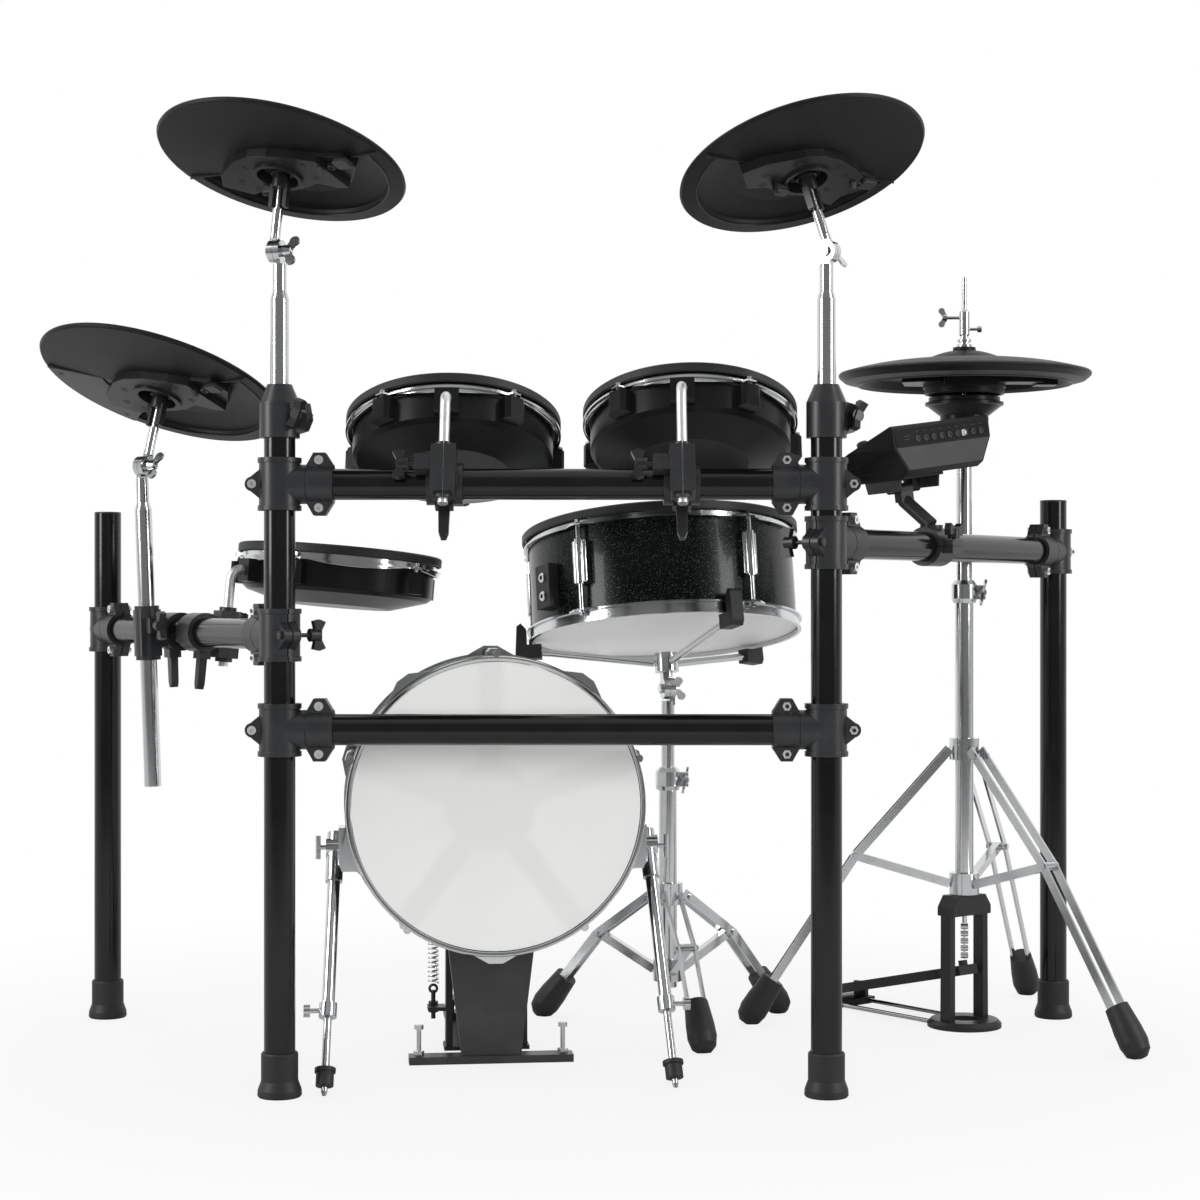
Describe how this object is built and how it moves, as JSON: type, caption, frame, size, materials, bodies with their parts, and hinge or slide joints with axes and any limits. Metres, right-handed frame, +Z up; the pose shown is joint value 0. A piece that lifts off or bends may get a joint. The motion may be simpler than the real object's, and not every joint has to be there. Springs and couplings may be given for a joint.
{
  "type": "electronic drum kit",
  "caption": "Electronic drum kit on a tubular rack: mesh tom pads, snare, kick drum with pedal, cymbal pads, hi-hat on a stand and a tilting sound module.",
  "frame": {"origin": "floor level under the middle of the kit's bounding box", "axes": "+X to the right as the audience sees the kit, +Y away from the audience towards the player, +Z up"},
  "size_m": [1.4747, 0.881, 1.1985],
  "materials": {
    "rack_posts": "gloss black powder coat",
    "rack_bars": "gloss black powder coat",
    "tee_clamps": "fine matte moulded plastic",
    "clamp_bolts": "polished",
    "rubber_feet": "matte rubber",
    "post_collars": "matte moulded plastic",
    "left_crash_tube": "polished",
    "left_crash_tilter": "polished, with felts and a plastic stopper",
    "left_crash_pad": "satin rubber over moulded plastic",
    "right_crash_tube": "polished",
    "right_crash_tilter": "polished, with felts and a plastic stopper",
    "right_crash_pad": "satin rubber over moulded plastic",
    "ride_tube": "polished",
    "ride_tilter": "polished, with felts and a plastic stopper",
    "ride_pad": "satin rubber over moulded plastic",
    "left_tom_clamp": "fine matte moulded plastic",
    "left_tom_rod": "polished",
    "left_tom_shell": "gloss moulded plastic",
    "left_tom_hoop": "polished",
    "left_tom_head": "mesh with a rubber rim",
    "right_tom_clamp": "fine matte moulded plastic",
    "right_tom_rod": "polished",
    "right_tom_shell": "gloss moulded plastic",
    "right_tom_hoop": "polished",
    "right_tom_head": "mesh with a rubber rim",
    "floor_tom_clamp": "fine matte moulded plastic",
    "floor_tom_rod": "polished",
    "floor_tom_shell": "gloss moulded plastic",
    "floor_tom_hoop": "polished",
    "floor_tom_head": "mesh with a rubber rim",
    "stand_tubes": "polished",
    "stand_legs": "polished",
    "hihat_base": "satin black",
    "hihat_pedal": "satin black",
    "hihat_rod": "polished",
    "hihat_pad": "satin rubber",
    "hihat_sensor": "gloss",
    "snare_shell": "black sparkle lacquer",
    "snare_hoops": "polished",
    "snare_heads": "mesh and film",
    "snare_lugs": "polished",
    "snare_basket": "polished",
    "snare_upright": "polished",
    "kick_shell": "black sparkle lacquer",
    "kick_hoops": "polished",
    "kick_heads": "white film",
    "kick_lugs": "polished",
    "kick_star": "moulded",
    "kick_legs": "polished",
    "kick_riser": "satin black",
    "pedal_base": "satin black",
    "pedal_footboard": "satin black",
    "pedal_beater": "polished shaft with a felt head",
    "pedal_spring": "polished wire",
    "module_case": "matte moulded plastic",
    "module_mount": "matte moulded plastic",
    "module_dial": "soft touch",
    "module_volume": "soft touch",
    "module_start_button": "soft key",
    "module_menu_button": "soft key"
  },
  "bodies": {
    "rack": {"rack_posts": "rack_posts", "rack_bars": "rack_bars", "tee_clamps": "tee_clamps", "clamp_bolts": "clamp_bolts", "rubber_feet": "rubber_feet", "post_collars": "post_collars", "stand_tubes": "stand_tubes", "stand_legs": "stand_legs", "hihat_base": "hihat_base", "hihat_sensor": "hihat_sensor", "kick_shell": "kick_shell", "kick_hoops": "kick_hoops", "kick_heads": "kick_heads", "kick_lugs": "kick_lugs", "kick_star": "kick_star", "kick_legs": "kick_legs", "kick_riser": "kick_riser", "pedal_base": "pedal_base", "pedal_spring": "pedal_spring", "module_mount": "module_mount"},
    "left_crash_tube": {"left_crash_tube": "left_crash_tube"},
    "left_crash_tilter": {"left_crash_tilter": "left_crash_tilter"},
    "left_crash_pad": {"left_crash_pad": "left_crash_pad"},
    "right_crash_tube": {"right_crash_tube": "right_crash_tube"},
    "right_crash_tilter": {"right_crash_tilter": "right_crash_tilter"},
    "right_crash_pad": {"right_crash_pad": "right_crash_pad"},
    "ride_tube": {"ride_tube": "ride_tube"},
    "ride_tilter": {"ride_tilter": "ride_tilter"},
    "ride_pad": {"ride_pad": "ride_pad"},
    "left_tom_clamp": {"left_tom_clamp": "left_tom_clamp"},
    "left_tom": {"left_tom_rod": "left_tom_rod", "left_tom_shell": "left_tom_shell", "left_tom_hoop": "left_tom_hoop", "left_tom_head": "left_tom_head"},
    "right_tom_clamp": {"right_tom_clamp": "right_tom_clamp"},
    "right_tom": {"right_tom_rod": "right_tom_rod", "right_tom_shell": "right_tom_shell", "right_tom_hoop": "right_tom_hoop", "right_tom_head": "right_tom_head"},
    "floor_tom_clamp": {"floor_tom_clamp": "floor_tom_clamp"},
    "floor_tom": {"floor_tom_rod": "floor_tom_rod", "floor_tom_shell": "floor_tom_shell", "floor_tom_hoop": "floor_tom_hoop", "floor_tom_head": "floor_tom_head"},
    "hihat_rod": {"hihat_rod": "hihat_rod", "hihat_pad": "hihat_pad"},
    "hihat_pedal": {"hihat_pedal": "hihat_pedal"},
    "snare_upright": {"snare_upright": "snare_upright"},
    "snare": {"snare_basket": "snare_basket", "snare_shell": "snare_shell", "snare_hoops": "snare_hoops", "snare_heads": "snare_heads", "snare_lugs": "snare_lugs"},
    "kick_footboard": {"pedal_footboard": "pedal_footboard"},
    "kick_beater": {"pedal_beater": "pedal_beater"},
    "module": {"module_case": "module_case"},
    "module_dial": {"module_dial": "module_dial"},
    "module_volume": {"module_volume": "module_volume"},
    "module_start_button": {"module_start_button": "module_start_button"},
    "module_menu_button": {"module_menu_button": "module_menu_button"}
  },
  "joints": [
    {"name": "left_crash_height", "type": "slide", "parent": "rack", "child": "left_crash_tube", "axis": [0, 0, 1], "range_m": [-0.05, 0.08]},
    {"name": "left_crash_tilt", "type": "hinge", "parent": "left_crash_tube", "child": "left_crash_tilter", "pos_m": [-0.37858, -0.31609, 1.026], "axis": [0.9487, -0.3162, 0], "range_deg": [-12, 24]},
    {"name": "left_crash_rock", "type": "hinge", "parent": "left_crash_tilter", "child": "left_crash_pad", "pos_m": [-0.37332, -0.2875, 1.15277], "axis": [0.8321, -0.5547, 0], "range_deg": [-2, 2], "stiffness_Nm_per_rad": 8},
    {"name": "right_crash_height", "type": "slide", "parent": "rack", "child": "right_crash_tube", "axis": [0, 0, 1], "range_m": [-0.05, 0.08]},
    {"name": "right_crash_tilt", "type": "hinge", "parent": "right_crash_tube", "child": "right_crash_tilter", "pos_m": [0.29172, -0.31416, 1.026], "axis": [0.6084, 0.7936, 0], "range_deg": [-12, 24]},
    {"name": "right_crash_rock", "type": "hinge", "parent": "right_crash_tilter", "child": "right_crash_pad", "pos_m": [0.25908, -0.28402, 1.14824], "axis": [0.812, 0.5836, 0], "range_deg": [-2, 2], "stiffness_Nm_per_rad": 8},
    {"name": "ride_height", "type": "slide", "parent": "rack", "child": "ride_tube", "axis": [-0.0315, -0.0187, 0.9993], "range_m": [-0.05, 0.08]},
    {"name": "ride_tilt", "type": "hinge", "parent": "ride_tube", "child": "ride_tilter", "pos_m": [-0.59321, -0.03897, 0.78045], "axis": [0.8353, -0.5495, 0.0161], "range_deg": [-12, 24]},
    {"name": "ride_rock", "type": "hinge", "parent": "ride_tilter", "child": "ride_pad", "pos_m": [-0.57084, -0.00869, 0.90495], "axis": [0.7796, -0.6262, 0.0129], "range_deg": [-2, 2], "stiffness_Nm_per_rad": 8},
    {"name": "left_tom_tilt", "type": "hinge", "parent": "rack", "child": "left_tom_clamp", "pos_m": [-0.17374, -0.31737, 0.743], "axis": [1, 0, 0], "range_deg": [-8, 10]},
    {"name": "left_tom_swing", "type": "hinge", "parent": "left_tom_clamp", "child": "left_tom", "pos_m": [-0.17374, -0.35075, 0.75649], "axis": [0, 0.3746, 0.9272], "range_deg": [0, 14]},
    {"name": "right_tom_tilt", "type": "hinge", "parent": "rack", "child": "right_tom_clamp", "pos_m": [0.11326, -0.31737, 0.743], "axis": [1, 0, 0], "range_deg": [-8, 10]},
    {"name": "right_tom_swing", "type": "hinge", "parent": "right_tom_clamp", "child": "right_tom", "pos_m": [0.11326, -0.35075, 0.75649], "axis": [0, 0.3746, 0.9272], "range_deg": [-10, 0]},
    {"name": "floor_tom_tilt", "type": "hinge", "parent": "rack", "child": "floor_tom_clamp", "pos_m": [-0.51007, -0.08853, 0.56], "axis": [-0.509, 0.8607, 0], "range_deg": [-4, 8]},
    {"name": "floor_tom_swing", "type": "hinge", "parent": "floor_tom_clamp", "child": "floor_tom", "pos_m": [-0.47922, -0.07029, 0.55667], "axis": [0.0795, 0.047, 0.9957], "range_deg": [-10, 10]},
    {"name": "hihat_close", "type": "slide", "parent": "rack", "child": "hihat_rod", "axis": [0, 0, 1], "range_m": [-0.01, 0], "stiffness_N_per_m": 1500, "springref_m": 0.03},
    {"name": "hihat_press", "type": "hinge", "parent": "rack", "child": "hihat_pedal", "pos_m": [0.37819, 0.33754, 0.022], "axis": [0.7727, 0.6347, 0], "range_deg": [0, 2.46]},
    {"name": "snare_height", "type": "slide", "parent": "rack", "child": "snare_upright", "axis": [0, 0, 1], "range_m": [-0.05, 0.06]},
    {"name": "snare_tilt", "type": "hinge", "parent": "snare_upright", "child": "snare", "pos_m": [0.11026, 0.15263, 0.477], "axis": [0.9671, 0.2545, 0], "range_deg": [-8, 8]},
    {"name": "kick_press", "type": "hinge", "parent": "rack", "child": "kick_footboard", "pos_m": [-0.16257, 0.20142, 0.024], "axis": [0.9936, 0.1132, 0], "range_deg": [0, 7.61], "stiffness_Nm_per_rad": 30, "springref_deg": -6.88},
    {"name": "kick_strike", "type": "hinge", "parent": "rack", "child": "kick_beater", "pos_m": [-0.13914, -0.00424, 0.152], "axis": [0.9936, 0.1132, 0], "range_deg": [0, 48.1], "stiffness_Nm_per_rad": 1.2, "springref_deg": -68.75, "deforming": ["pedal_spring"]},
    {"name": "module_tilt", "type": "hinge", "parent": "rack", "child": "module", "pos_m": [0.4147, -0.06652, 0.74973], "axis": [0.8088, 0.5726, 0.134], "range_deg": [-8, 8]},
    {"name": "module_dial_turn", "type": "hinge", "parent": "module", "child": "module_dial", "pos_m": [0.46329, -0.01924, 0.8216], "axis": [-0.301, 0.2073, 0.9308], "continuous": true},
    {"name": "module_volume_turn", "type": "hinge", "parent": "module", "child": "module_volume", "pos_m": [0.36372, -0.06558, 0.79972], "axis": [-0.301, 0.2073, 0.9308], "range_deg": [-140, 140]},
    {"name": "module_start_press", "type": "slide", "parent": "module", "child": "module_start_button", "axis": [-0.301, 0.2073, 0.9308], "range_m": [-0.0015, 0], "stiffness_N_per_m": 600, "springref_m": 0.001},
    {"name": "module_menu_press", "type": "slide", "parent": "module", "child": "module_menu_button", "axis": [-0.301, 0.2073, 0.9308], "range_m": [-0.0015, 0], "stiffness_N_per_m": 600, "springref_m": 0.001}
  ],
  "couplings": [
    {"joint": "hihat_press", "follows": "hihat_close", "rad_per_m": -4.2017},
    {"joint": "kick_strike", "follows": "kick_press", "ratio": 6.3077}
  ]
}
